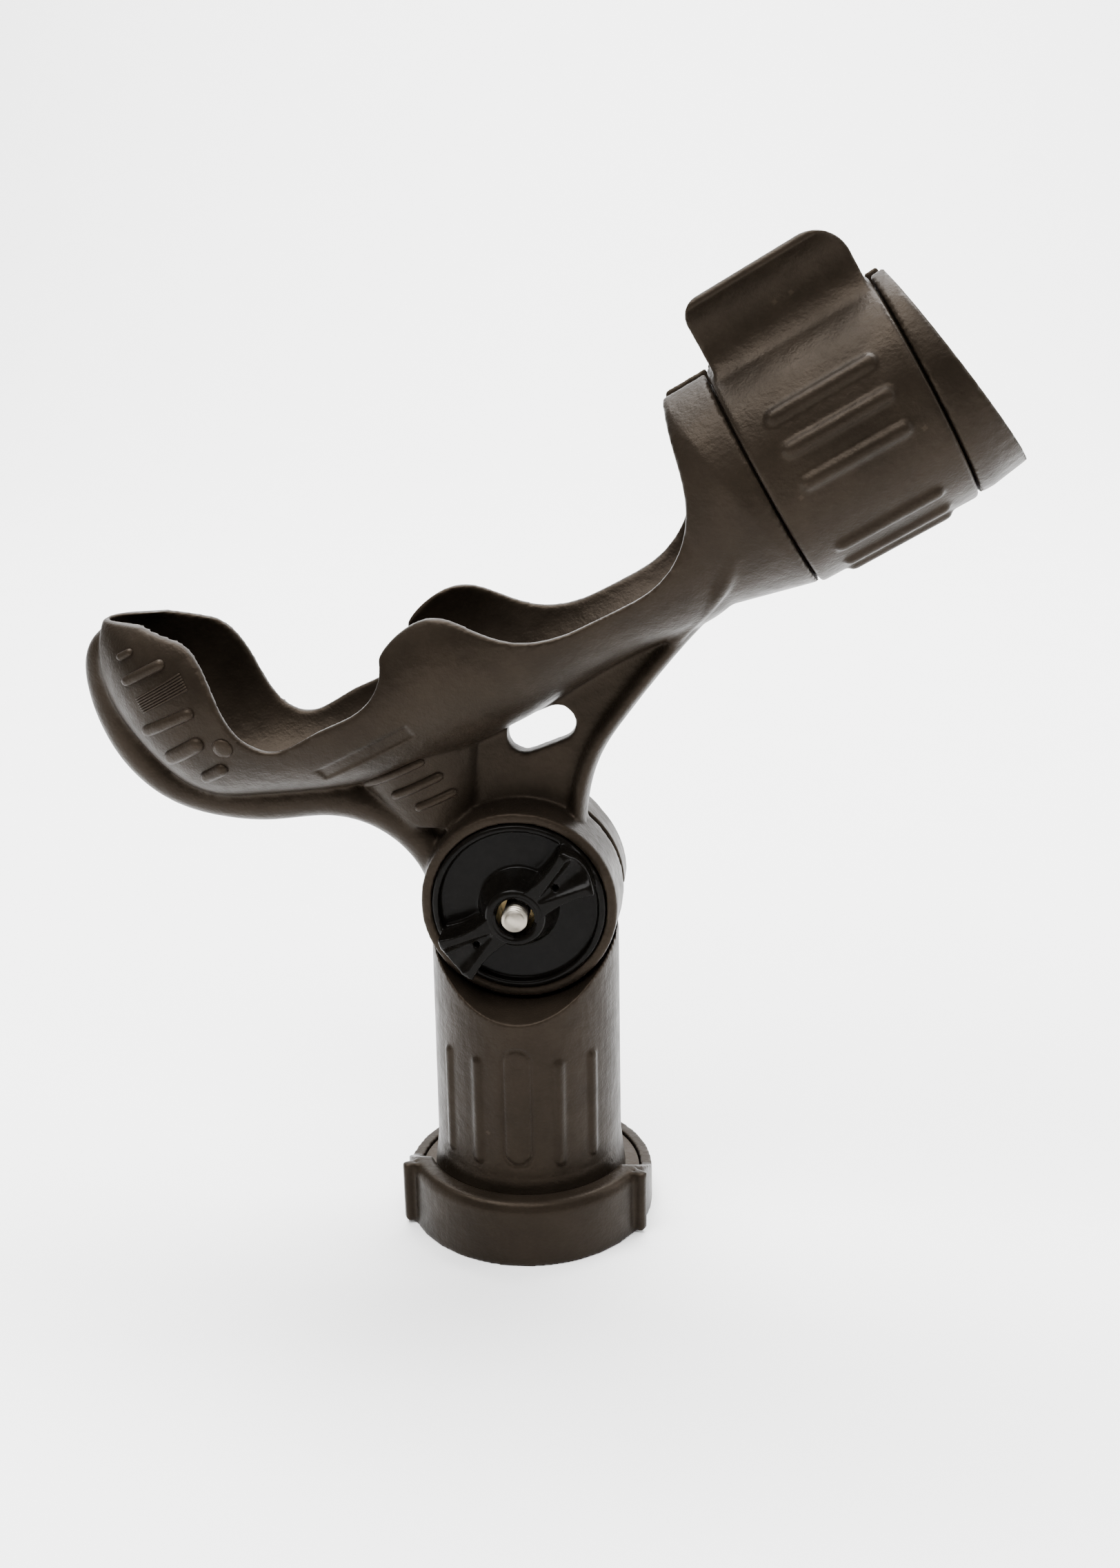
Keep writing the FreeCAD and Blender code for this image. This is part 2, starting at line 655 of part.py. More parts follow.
def post():
    column = Part.makeCone(POST_FOOT_R, POST_TOP_R, HINGE_Z + 1.0)
    foot_r = POST_FOOT_R + POST_FOOT_RISE
    flare = Part.makeCone(foot_r, POST_FOOT_R, 10.0, V(0, 0, POST_FOOT_HEIGHT))
    foot = Part.makeCylinder(foot_r, POST_FOOT_HEIGHT)
    flange = Part.makeCylinder(FLANGE_R, FLANGE_TOP_Z - FLANGE_BOTTOM_Z, V(0, 0, FLANGE_BOTTOM_Z))
    body = column.fuse([flare, foot, flange] + post_grips())
    body = body.cut([hinge_recess(), oval_outline()])
    body = body.fuse(post_head())
    socket = Part.makeCylinder(SOCKET_R, SOCKET_DEPTH)
    hollow_r = POST_FOOT_R - POST_WALL
    hollow = Part.makeCone(hollow_r, hollow_r - 1.0, HOLLOW_TOP_Z - SOCKET_DEPTH, V(0, 0, SOCKET_DEPTH))
    keyways = []
    for k in range(SPLINE_COUNT):
        corner = V(SOCKET_R - 4.0, -SPLINE_WIDTH / 2, 0)
        key = Part.makeBox(SPLINE_DEPTH + 4.0, SPLINE_WIDTH, SOCKET_DEPTH, corner)
        key.rotate(V(0, 0, 0), Z_AXIS, 360.0 * k / SPLINE_COUNT)
        keyways.append(key)
    groove_foot = V(0, 0, RETAINER_Z - 0.1)
    groove_height = RETAINER_THICKNESS + 0.2
    groove_floor = Part.makeCylinder(RETAINER_GROOVE_R, groove_height, groove_foot)
    retainer_groove = Part.makeCylinder(foot_r + 1.0, groove_height, groove_foot).cut(groove_floor)
    bolt_hole = cylinder_y(BOLT_R + 0.03, -10.0, 40.0)
    head_pocket = hexagon_y(BOLT_HEAD_FLATS + 0.3, BOLT_HEAD_Y, 40.0)
    pocket = cylinder_y(SPRING_POCKET_R, HEAD_FRONT_Y - 2.0, HEAD_FRONT_Y + SPRING_POCKET_DEPTH)
    body = body.cut([socket, hollow, retainer_groove, bolt_hole, head_pocket, pocket] + keyways)
    body = body.fuse(hinge_teeth(HEAD_FRONT_Y, -TOOTH_HEIGHT, 180.0 / TOOTH_COUNT))
    return one_solid(body)


# ---------------------------------------------------------------- bolt, knob and their small parts

def tilt_bolt():
    chamfer = 1.0
    shank = cylinder_y(BOLT_R, BOLT_END_Y + chamfer, BOLT_HEAD_Y)
    tip = cone_y(BOLT_R - 0.8, BOLT_R, BOLT_END_Y, BOLT_END_Y + chamfer)
    head = hexagon_y(BOLT_HEAD_FLATS, BOLT_HEAD_Y, BOLT_HEAD_Y + BOLT_HEAD_HEIGHT)
    crown = cone_y(12.0, BOLT_HEAD_FLATS / 2, BOLT_HEAD_Y, BOLT_HEAD_Y + BOLT_HEAD_HEIGHT)
    return one_solid(shank.fuse([tip, head.common(crown)]))


def tilt_spring():
    """An open compression spring that sits in the pockets of both hinge faces, clear of the cradle."""
    coil_r = SPRING_POCKET_R - SPRING_WIRE_R - 0.6
    floor_y = BARREL_BACK_Y - SPRING_POCKET_DEPTH + SPRING_WIRE_R + 0.35
    top_y = HEAD_FRONT_Y + SPRING_POCKET_DEPTH - SPRING_WIRE_R
    length = top_y - floor_y
    helix = Part.makeHelix(length / SPRING_TURNS, length, coil_r)
    profile = Part.Wire(Part.makeCircle(SPRING_WIRE_R, V(coil_r, 0, 0), Y_AXIS))
    coil = Part.Wire(helix).makePipeShell([profile], True, True)
    coil.Placement = FreeCAD.Placement(hinge_point(0, 0, floor_y), FreeCAD.Rotation(X_AXIS, -90))
    return one_solid(coil)


def knob_washer():
    top = KNOB_RECESS_FLOOR_Y - 0.05
    ring = cylinder_y(WASHER_R, top - WASHER_THICKNESS, top)
    return one_solid(ring.cut(cylinder_y(BOLT_R + RUNNING_GAP, -30.0, 0.0)))


def nut_back_y():
    return KNOB_RECESS_FLOOR_Y - 0.05 - WASHER_THICKNESS - 0.05


def knob_nut():
    back = nut_back_y()
    body = hexagon_y(BOLT_HEAD_FLATS, back - NUT_HEIGHT, back)
    return one_solid(body.cut(cylinder_y(BOLT_R + RUNNING_GAP, -30.0, 0.0)))


def knob_wing():
    """One wing of the knob, drawn along +X and turned into place by the knob: a waisted bar whose
    height rises from the disc to a rounded tip."""
    tip_r = KNOB_R - 0.6
    root_half = 5.5
    tip_half = 8.4
    foot_y = KNOB_FACE_Y + KNOB_DISH_DEPTH + 1.0
    flat = [
        Part.makeLine(V(4.0, foot_y, -root_half), V(4.0, foot_y, root_half)),
        Part.Arc(
            V(4.0, foot_y, root_half),
            V(15.0, foot_y, root_half - 0.2),
            V(tip_r - 2.4, foot_y, tip_half),
        ).toShape(),
        Part.Arc(
            V(tip_r - 2.4, foot_y, tip_half),
            V(tip_r, foot_y, 0),
            V(tip_r - 2.4, foot_y, -tip_half),
        ).toShape(),
        Part.Arc(
            V(tip_r - 2.4, foot_y, -tip_half),
            V(15.0, foot_y, -root_half + 0.2),
            V(4.0, foot_y, -root_half),
        ).toShape(),
    ]
    blank = Part.Face(Part.Wire(flat)).extrude(V(0, KNOB_TOP_Y - foot_y, 0))
    side = [
        V(3.0, foot_y + 1.0, 0),
        V(tip_r + 1.0, foot_y + 1.0, 0),
        V(tip_r + 0.4, KNOB_TOP_Y + 1.6, 0),
        V(tip_r - 2.6, KNOB_TOP_Y, 0),
        V(3.0, KNOB_TOP_Y, 0),
    ]
    profile = Part.Face(Part.makePolygon(side + side[:1]))
    profile.translate(V(0, 0, -15.0))
    return blank.common(profile.extrude(V(0, 0, 30.0)))


def thumb_groove():
    """The hollow along the top of a wing, which widens towards the tip."""
    start = V(9.0, KNOB_TOP_Y, 0)
    end = V(KNOB_R + 4.0, KNOB_TOP_Y - 4.6, 0)
    return Part.makeCone(0.6, 9.0, end.sub(start).Length, start, end.sub(start))


def tilt_knob():
    back = nut_back_y()
    disc = cylinder_y(KNOB_R, KNOB_FACE_Y, back - 2.5)
    disc = disc.makeFillet(0.9, [edge for edge in disc.Edges if edge.BoundBox.YMax < KNOB_FACE_Y + 0.1])
    dish = cylinder_y(KNOB_R - KNOB_RIM_WIDTH, KNOB_FACE_Y - 1.0, KNOB_FACE_Y + KNOB_DISH_DEPTH)
    hollow = cylinder_y(KNOB_R - 3.0, KNOB_FACE_Y + KNOB_DISH_DEPTH + 2.4, back - 1.0)
    sleeve = cylinder_y(KNOB_HUB_R - 1.6, KNOB_FACE_Y + KNOB_DISH_DEPTH + 1.0, back)
    hub = cone_y(KNOB_HUB_R - 3.6, KNOB_HUB_R, KNOB_TOP_Y + 1.6, KNOB_FACE_Y + KNOB_DISH_DEPTH)
    wings = []
    for side in (0.0, 180.0):
        wing = knob_wing().cut(thumb_groove())
        wing = wing.cut(Part.makeCylinder(1.0, 6.0, V(KNOB_PIT_REACH, KNOB_TOP_Y - 1.0, 0), Y_AXIS))
        wing.rotate(V(0, 0, 0), Y_AXIS, -(KNOB_WING_ANGLE + side))
        wing.translate(V(0, 0, HINGE_Z))
        wings.append(wing)
    body = disc.cut([dish, hollow]).fuse([sleeve, hub] + wings)
    well = cylinder_y(KNOB_WELL_R, KNOB_TOP_Y - 1.0, back - NUT_HEIGHT)
    nut_seat = hexagon_y(BOLT_HEAD_FLATS, back - NUT_HEIGHT, back + 1.0)
    return one_solid(body.cut([well, nut_seat]))


# ---------------------------------------------------------------- lock ring and its small parts

def lock_ring():
    """A skirt with an inner lip that bears on the post's flange. Its front half stands higher."""
    skirt_r = RING_INNER_R - 0.3
    outline = [
        V(skirt_r, 0, 0),
        V(RING_OUTER_R, 0, 0),
        V(RING_OUTER_R - 0.2, 0, RING_TOP_Z - 3.0),
        V(RING_OUTER_R - 1.2, 0, RING_TOP_Z - 0.9),
        V(RING_OUTER_R - 2.4, 0, RING_TOP_Z),
        V(RING_RIM_R + 0.8, 0, RING_TOP_Z),
        V(RING_RIM_R, 0, RING_TOP_Z - 0.8),
        V(RING_RIM_R, 0, RING_RIM_Z),
        V(skirt_r, 0, RING_RIM_Z - 2.0),
        V(skirt_r, 0, RING_LIP_TOP_Z),
        V(RING_LIP_R, 0, RING_LIP_TOP_Z),
        V(RING_LIP_R, 0, RING_LIP_BOTTOM_Z),
        V(skirt_r, 0, RING_LIP_BOTTOM_Z),
    ]
    ring = turned(outline, Z_AXIS)
    ramp = [
        V(-60.0, -15.0, RING_TOP_Z + 1.0),
        V(-60.0, -13.0, RING_TOP_Z - 1.0),
        V(-60.0, 2.0, RING_BACK_Z),
        V(-60.0, 60.0, RING_BACK_Z),
        V(-60.0, 60.0, RING_TOP_Z + 1.0),
    ]
    ring = ring.cut(Part.Face(Part.makePolygon(ramp + ramp[:1])).extrude(V(120.0, 0, 0)))
    fins = []
    inner = RING_INNER_R + 0.5
    for turn in (-FIN_ANGLE, 180.0 + FIN_ANGLE):
        corner = V(inner, -FIN_THICKNESS / 2, 1.0)
        fin = Part.makeBox(FIN_REACH - inner, FIN_THICKNESS, RING_TOP_Z - 1.0, corner)
        outer_edges = [edge for edge in fin.Edges if edge.BoundBox.XMin > FIN_REACH - 0.1]
        fin = fin.makeFillet(1.2, outer_edges)
        fin = fin.cut(Part.makeCylinder(0.9, 3.0, V(39.4, 0, RING_TOP_Z - 1.2)))
        fin.rotate(V(0, 0, 0), Z_AXIS, turn)
        fins.append(fin)
    lugs = []
    for k in range(BAYONET_LUG_COUNT):
        lug = Part.makeCylinder(RING_INNER_R, 2.4, V(0, 0, 0.4), Z_AXIS, BAYONET_LUG_TURN)
        lug = lug.cut(Part.makeCylinder(BAYONET_LUG_R, 4.0, V(0, 0, -0.4)))
        lug.rotate(V(0, 0, 0), Z_AXIS, 360.0 * k / BAYONET_LUG_COUNT + 18.0)
        lugs.append(lug)
    return one_solid(ring.fuse(fins + lugs))


def ring_spring():
    """The wave washer between the lock ring's lip and the retainer, as its flat envelope."""
    foot = V(0, 0, RING_LIP_TOP_Z + 0.3)
    ring = Part.makeCylinder(RING_SPRING_OUTER_R, RING_SPRING_THICKNESS, foot)
    return one_solid(ring.cut(Part.makeCylinder(RING_SPRING_INNER_R, RING_SPRING_THICKNESS, foot)))


def ring_retainer():
    """The split ring that snaps into the post's groove and holds the lock ring down."""
    foot = V(0, 0, RETAINER_Z)
    ring = Part.makeCylinder(RETAINER_OUTER_R, RETAINER_THICKNESS, foot)
    ring = ring.cut(Part.makeCylinder(RETAINER_GROOVE_R + 0.05, RETAINER_THICKNESS, foot))
    split = Part.makeBox(3.0, 12.0, 10.0, V(-1.5, 27.0, RETAINER_Z - 4.0))
    return one_solid(ring.cut(split))


PIECES = {
    "cradle": cradle,
    "locking_collar": locking_collar,
    "post": post,
    "tilt_bolt": tilt_bolt,
    "tilt_spring": tilt_spring,
    "tilt_knob": tilt_knob,
    "knob_nut": knob_nut,
    "knob_washer": knob_washer,
    "lock_ring": lock_ring,
    "ring_spring": ring_spring,
    "ring_retainer": ring_retainer,
}


def main():
    os.makedirs("parts", exist_ok=True)
    for name, make in PIECES.items():
        shape = make()
        box = shape.BoundBox
        print(f"{name}: valid {shape.isValid()}, {shape.Volume / 1000:.1f} cm3, "
              f"x {box.XMin:.1f}..{box.XMax:.1f}, y {box.YMin:.1f}..{box.YMax:.1f}, "
              f"z {box.ZMin:.1f}..{box.ZMax:.1f}")
        shape.exportStep(f"parts/{name}.step")


if __name__ == "__main__":
    main()
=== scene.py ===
"""Looks of the rod holder: moulded skins, small hardware, materials, studio and camera."""

import math

import bmesh
import bpy
from mathutils import Matrix, Vector
from mathutils.bvhtree import BVHTree


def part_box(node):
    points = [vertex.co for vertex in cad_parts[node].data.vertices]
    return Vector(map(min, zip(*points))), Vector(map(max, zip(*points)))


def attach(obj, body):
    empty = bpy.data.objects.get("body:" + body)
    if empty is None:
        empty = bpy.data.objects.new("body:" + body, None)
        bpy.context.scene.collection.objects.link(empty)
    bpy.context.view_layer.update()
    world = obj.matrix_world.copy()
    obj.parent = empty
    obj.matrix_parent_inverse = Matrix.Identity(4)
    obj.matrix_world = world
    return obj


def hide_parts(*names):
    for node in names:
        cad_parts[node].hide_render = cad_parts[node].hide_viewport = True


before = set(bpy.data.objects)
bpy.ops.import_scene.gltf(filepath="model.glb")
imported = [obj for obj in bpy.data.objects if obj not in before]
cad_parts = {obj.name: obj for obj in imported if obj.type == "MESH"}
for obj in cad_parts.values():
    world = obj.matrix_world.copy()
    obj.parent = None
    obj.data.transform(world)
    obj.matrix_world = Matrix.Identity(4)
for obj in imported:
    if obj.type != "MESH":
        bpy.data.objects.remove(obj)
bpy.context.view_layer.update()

MM = 0.001
NEAR = -1.0
FAR = 1.0
FULL_TURN = 2.0 * math.pi
WELD_M = 1e-6


def middle_of(node):
    low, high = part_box(node)
    return (low + high) / 2


HINGE = middle_of("knob_washer")
HINGE.y = 0.0


def from_hinge(x, z, y=0.0):
    """A point given in millimetres from the hinge axis."""
    return HINGE + Vector((x, y, z)) * MM


# ---------------------------------------------------------------- node helpers

class Nodes:
    """Adds shader nodes to one material and links them."""

    def __init__(self, name):
        self.material = bpy.data.materials.new(name)
        self.material.use_nodes = True
        self.tree = self.material.node_tree
        self.shader = self.tree.nodes["Principled BSDF"]
        coordinates = self.tree.nodes.new("ShaderNodeTexCoord")
        self.place = coordinates.outputs["Object"]

    def add(self, kind, **values):
        node = self.tree.nodes.new(kind)
        for key, value in values.items():
            setattr(node, key, value)
        return node

    def link(self, output, socket):
        self.tree.links.new(output, socket)

    def noise(self, size_mm, detail=2.0, roughness=0.5):
        node = self.add("ShaderNodeTexNoise")
        node.inputs["Scale"].default_value = 1.0 / (size_mm * MM)
        node.inputs["Detail"].default_value = detail
        node.inputs["Roughness"].default_value = roughness
        self.link(self.place, node.inputs["Vector"])
        return node.outputs["Fac"]

    def spread(self, value, low, high, to_low, to_high):
        node = self.add("ShaderNodeMapRange")
        node.inputs["From Min"].default_value = low
        node.inputs["From Max"].default_value = high
        node.inputs["To Min"].default_value = to_low
        node.inputs["To Max"].default_value = to_high
        self.link(value, node.inputs["Value"])
        return node.outputs["Result"]

    def mix(self, factor, first, second):
        node = self.add("ShaderNodeMix", data_type="RGBA")
        self.link(factor, node.inputs["Factor"])
        for value, socket in ((first, node.inputs[6]), (second, node.inputs[7])):
            if isinstance(value, tuple):
                socket.default_value = (*value, 1.0)
            else:
                self.link(value, socket)
        return node.outputs[2]

    def bump(self, height, depth_mm, normal=None):
        node = self.add("ShaderNodeBump")
        node.inputs["Distance"].default_value = depth_mm * MM
        self.link(height, node.inputs["Height"])
        if normal is not None:
            self.link(normal, node.inputs["Normal"])
        return node.outputs["Normal"]

    def set(self, **values):
        for key, value in values.items():
            self.shader.inputs[key.replace("_", " ")].default_value = value


# ---------------------------------------------------------------- materials

# Base colours, in linear light.
NYLON_SHADE = (0.010, 0.0074, 0.0052)
KNOB_SHADE = (0.0022, 0.0019, 0.0015)
KNOB_SCUFF_SHADE = (0.004, 0.0035, 0.003)
BOLT_SHADE = (0.34, 0.31, 0.26)
SPRING_SHADE = (0.52, 0.51, 0.50)
BRASS_SHADE = (0.62, 0.46, 0.22)
WARM_SHEEN = (1.0, 0.80, 0.62, 1.0)

# Size of each kind of surface variation, in mm.
CLOUDING_MM = 18.0
PATCHES_MM = 7.0
GRAIN_MM = 0.8
RIPPLE_MM = 4.0
SCUFFS_MM = 5.0
POLISH_MM = 1.1
BRUSHING_MM = 0.25


def scaled(colour, factor):
    return tuple(channel * factor for channel in colour)


def moulded_nylon(name, shade, gloss, grain_depth):
    """Black moulded nylon: fine spark-eroded grain, faint flow clouding, and sharp convex edges
    lightened as a painted highlight.
    """
    nodes = Nodes(name)
    inputs = nodes.shader.inputs
    clouding = nodes.spread(nodes.noise(CLOUDING_MM, 3.0), 0.35, 0.68, 0.0, 1.0)
    base = nodes.mix(clouding, scaled(shade, 0.75), scaled(shade, 1.25))
    geometry = nodes.add("ShaderNodeNewGeometry")
    # Painted highlight: the base colour is lightened towards 3.5 times the shade along sharp convex
    # edges, found by Pointiness.
    painted_edge_highlight = nodes.spread(geometry.outputs["Pointiness"], 0.52, 0.60, 0.0, 0.35)
    nodes.link(nodes.mix(painted_edge_highlight, base, scaled(shade, 3.5)), inputs["Base Color"])
    patches = nodes.noise(PATCHES_MM, 4.0, 0.6)
    nodes.link(nodes.spread(patches, 0.3, 0.7, gloss - 0.06, gloss + 0.08), inputs["Roughness"])
    grain = nodes.bump(nodes.noise(GRAIN_MM, 3.0, 0.6), grain_depth)
    rippled = nodes.bump(nodes.noise(RIPPLE_MM, 2.0), grain_depth * 2.0, grain)
    nodes.link(rippled, inputs["Normal"])
    nodes.set(IOR=1.5, Specular_IOR_Level=0.10, Specular_Tint=WARM_SHEEN)
    return nodes.material


def knob_plastic():
    """Smooth glossy black plastic with fine handling scratches."""
    nodes = Nodes("knob_gloss_black")
    inputs = nodes.shader.inputs
    scuffs = nodes.spread(nodes.noise(SCUFFS_MM, 5.0, 0.65), 0.42, 0.75, 0.0, 1.0)
    nodes.link(nodes.mix(scuffs, KNOB_SHADE, KNOB_SCUFF_SHADE), inputs["Base Color"])
    nodes.link(nodes.spread(scuffs, 0.0, 1.0, 0.16, 0.26), inputs["Roughness"])
    nodes.link(nodes.bump(nodes.noise(POLISH_MM, 2.0), 0.012), inputs["Normal"])
    nodes.set(IOR=1.46, Specular_IOR_Level=0.05)
    return nodes.material


def metal(name, colour, gloss, wear_mm):
    """Turned or drawn metal: fine brushed variation in tone and roughness."""
    nodes = Nodes(name)
    inputs = nodes.shader.inputs
    marks = nodes.noise(wear_mm, 5.0, 0.7)
    nodes.link(nodes.mix(marks, scaled(colour, 0.72), colour), inputs["Base Color"])
    nodes.link(nodes.spread(marks, 0.3, 0.7, gloss - 0.08, gloss + 0.1), inputs["Roughness"])
    nodes.link(nodes.bump(nodes.noise(BRUSHING_MM, 2.0), 0.01), inputs["Normal"])
    nodes.set(Metallic=1.0)
    return nodes.material


NYLON = moulded_nylon("nylon_grained_black", NYLON_SHADE, 0.38, 0.12)
RING_NYLON = moulded_nylon("nylon_satin_black", scaled(NYLON_SHADE, 0.9), 0.36, 0.08)
KNOB = knob_plastic()
STEEL = metal("steel_bright", BOLT_SHADE, 0.42, 0.8)
SPRING_STEEL = metal("steel_spring", SPRING_SHADE, 0.34, 0.5)
BRASS = metal("brass_turned", BRASS_SHADE, 0.3, 0.9)


# ---------------------------------------------------------------- mesh helpers

def new_piece(name, bm):
    mesh = bpy.data.meshes.new(name)
    bm.to_mesh(mesh)
    bm.free()
    piece = bpy.data.objects.new(name, mesh)
    bpy.context.collection.objects.link(piece)
    return piece


def finish_piece(piece, body, material, slot, *nodes):
    piece.data.materials.clear()
    piece.data.materials.append(material)
    for polygon in piece.data.polygons:
        polygon.use_smooth = True
    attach(piece, body)
    if nodes:
        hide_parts(*nodes)
    return piece


def node_mesh(node):
    """A welded copy of a CAD node's mesh."""
    bm = bmesh.new()
    bm.from_mesh(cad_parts[node].data)
    bmesh.ops.remove_doubles(bm, verts=bm.verts, dist=WELD_M)
    return bm


def moulded_piece(name, bm, voxel_mm, passes, body, material, slot, node):
    """A closed form with every edge rounded as a mould does, by remeshing and relaxing it."""
    rough = new_piece("skin", bm)
    remesh = rough.modifiers.new("remesh", "REMESH")
    remesh.mode = "VOXEL"
    remesh.voxel_size = voxel_mm * MM
    relax = rough.modifiers.new("relax", "SMOOTH")
    relax.factor = 0.5
    relax.iterations = passes
    graph = bpy.context.evaluated_depsgraph_get()
    mesh = bpy.data.meshes.new_from_object(rough.evaluated_get(graph))
    bpy.data.objects.remove(rough)
    piece = bpy.data.objects.new(name, mesh)
    bpy.context.collection.objects.link(piece)
    return finish_piece(piece, body, material, slot, node)


CLEAR_OF_SIDES = 90.0


def skin_hit(tree, x, z, side):
    """Where the outer skin is, looking along Y from one side, and its normal."""
    origin = from_hinge(x, z, side * CLEAR_OF_SIDES)
    point, normal, _, _ = tree.ray_cast(origin, Vector((0.0, -side, 0.0)))
    return point, normal


def add_bead(bm, point, normal, half_width_mm, rise_mm):
    """A flattened ball half sunk in the skin."""
    place = Matrix.Translation(point) @ normal.to_track_quat("Z", "Y").to_matrix().to_4x4()
    size = Matrix.Diagonal((half_width_mm * MM, half_width_mm * MM, rise_mm * MM, 1.0))
    bmesh.ops.create_icosphere(bm, subdivisions=2, radius=1.0, matrix=place @ size)


def join_rings(bm, rings):
    """Faces between neighbouring rings of vertices."""
    for first, second in zip(rings, rings[1:]):
        for k in range(len(first)):
            n = (k + 1) % len(first)
            bm.faces.new((first[k], first[n], second[n], second[k]))


def add_rib(bm, tree, start, end, half_width, rise, side):
    """A low round-ended rib, half sunk in the skin, between two points given as x, z from the hinge."""
    steps = 20
    segments = 12
    least_swell = 0.04
    length = math.dist(start, end)
    rings = []
    for k in range(steps + 1):
        share = (1.0 - math.cos(math.pi * k / steps)) / 2.0
        x = start[0] + (end[0] - start[0]) * share
        z = start[1] + (end[1] - start[1]) * share
        point, normal = skin_hit(tree, x, z, side)
        along = Vector((end[0] - start[0], 0.0, end[1] - start[1]))
        across = normal.cross(along).normalized()
        run = min(1.0, min(share, 1.0 - share) * length / half_width)
        swell = max(least_swell, math.sqrt(1.0 - (1.0 - run) ** 2))
        ring = []
        for n in range(segments):
            turn = FULL_TURN * n / segments
            reach = across * (half_width * math.cos(turn)) + normal * (rise * math.sin(turn))
            ring.append(bm.verts.new(point + reach * (swell * MM)))
        rings.append(ring)
    join_rings(bm, rings)
    bm.faces.new(rings[0])
    bm.faces.new(rings[-1])
    bmesh.ops.recalc_face_normals(bm, faces=bm.faces)


PANEL_FADE = 0.7
PANEL_CLEAR_Y = 8.0
PANEL_LEAST_FACING = 0.3


def press_panel(mesh, start, end, half_height, depth, side):
    """Sinks a plain strip between two points given as x, z from the hinge."""
    low, high = from_hinge(*start), from_hinge(*end)
    along = (high - low).normalized()
    across = Vector((-along.z, 0.0, along.x))
    length = (high - low).length
    fade = PANEL_FADE * MM
    for vertex in mesh.vertices:
        if vertex.co.y * side < PANEL_CLEAR_Y * MM:
            continue
        place = vertex.co - low
        run = place.dot(along)
        inside = min(run, length - run, half_height * MM - abs(place.dot(across)))
        if inside > 0.0 and vertex.normal.y * side > PANEL_LEAST_FACING:
            vertex.co.y -= side * depth * MM * min(1.0, inside / fade)


# ---------------------------------------------------------------- cradle

# Low ribs on both sides of the scoop and beside the barrel: x, z of both ends, half width, rise.
CRADLE_RIBS = (
    ((-119.0, 76.8), (-113.6, 79.5), 1.3, 1.2),
    ((-117.2, 69.9), (-102.9, 77.1), 1.7, 1.5),
    ((-112.1, 54.8), (-94.2, 63.0), 1.9, 1.7),
    ((-106.2, 45.8), (-92.4, 53.7), 2.5, 1.9),
    ((-95.7, 39.9), (-86.3, 45.2), 2.2, 1.7),
    ((-48.5, 35.8), (-27.6, 46.2), 1.5, 1.5),
    ((-38.9, 33.0), (-22.6, 41.0), 1.6, 1.5),
    ((-31.9, 29.2), (-19.0, 35.0), 1.5, 1.4),
)
BOSS = (-86.4, 51.7)
BOSS_R = 3.3
BOSS_RISE = 1.1
PLAIN_PANEL = ((-58.4, 42.5), (-29.6, 58.1))
PANEL_HALF_HEIGHT = 2.3
PANEL_DEPTH = 0.8
GRIP_PANEL = ((-110.6, 61.2), (-95.3, 69.4), (-98.0, 74.5), (-113.3, 65.7))
GRIP_LINES = 7
GRIP_HALF_WIDTH = 0.36
GRIP_RISE = 0.45


def cradle_skin():
    """The cradle with moulded edges and a recessed panel on each side of its neck.

    Returns a search tree of the CAD surface, which the ribs are placed on.
    """
    bm = node_mesh("cradle")
    tree = BVHTree.FromBMesh(bm)
    skin = moulded_piece("cradle_skin", bm, 0.8, 5, "cradle", NYLON, "moulded_nylon", "cradle")
    for side in (NEAR, FAR):
        press_panel(skin.data, *PLAIN_PANEL, PANEL_HALF_HEIGHT, PANEL_DEPTH, side)
    return tree


def cradle_ribs(tree):
    """The ribs and round bosses on both sides of the scoop."""
    bm = bmesh.new()
    for side in (NEAR, FAR):
        for start, end, half_width, rise in CRADLE_RIBS:
            add_rib(bm, tree, start, end, half_width, rise, side)
        add_bead(bm, *skin_hit(tree, *BOSS, side), BOSS_R, BOSS_RISE)
    return finish_piece(new_piece("cradle_ribs", bm), "cradle", NYLON, "moulded_nylon")


def grip_lines(tree):
    """The panel of fine ridges on both sides of the scoop."""
    low_left, low_right, top_right, top_left = (Vector(corner) for corner in GRIP_PANEL)
    bm = bmesh.new()
    for side in (NEAR, FAR):
        for k in range(GRIP_LINES):
            share = (k + 0.5) / GRIP_LINES
            start = low_left.lerp(top_left, share)
            end = low_right.lerp(top_right, share)
            add_rib(bm, tree, tuple(start), tuple(end), GRIP_HALF_WIDTH, GRIP_RISE, side)
    piece = new_piece("scoop_grip_lines", bm)
    return finish_piece(piece, "cradle", NYLON, "moulded_nylon")


shell = cradle_skin()
cradle_ribs(shell)
grip_lines(shell)

# ---------------------------------------------------------------- collar, post, ring and knob

# Piece, node, body, material, slot, voxel size in mm, relaxing passes.
MOULDINGS = (
    ("collar_skin", "locking_collar", "collar", NYLON, "moulded_nylon", 0.6, 5),
    ("post_skin", "post", "post", NYLON, "moulded_nylon", 0.55, 3),
    ("ring_skin", "lock_ring", "lock_ring", RING_NYLON, "moulded_nylon", 0.6, 5),
    ("knob_skin", "tilt_knob", "knob", KNOB, "knob_plastic", 0.45, 5),
)

for name, node, body, material, slot, voxel_mm, passes in MOULDINGS:
    moulded_piece(name, node_mesh(node), voxel_mm, passes, body, material, slot, node)

KNOB_RIM_R = 7.7
KNOB_RIM_THICKNESS_R = 1.7
KNOB_RIM_Y = -23.7


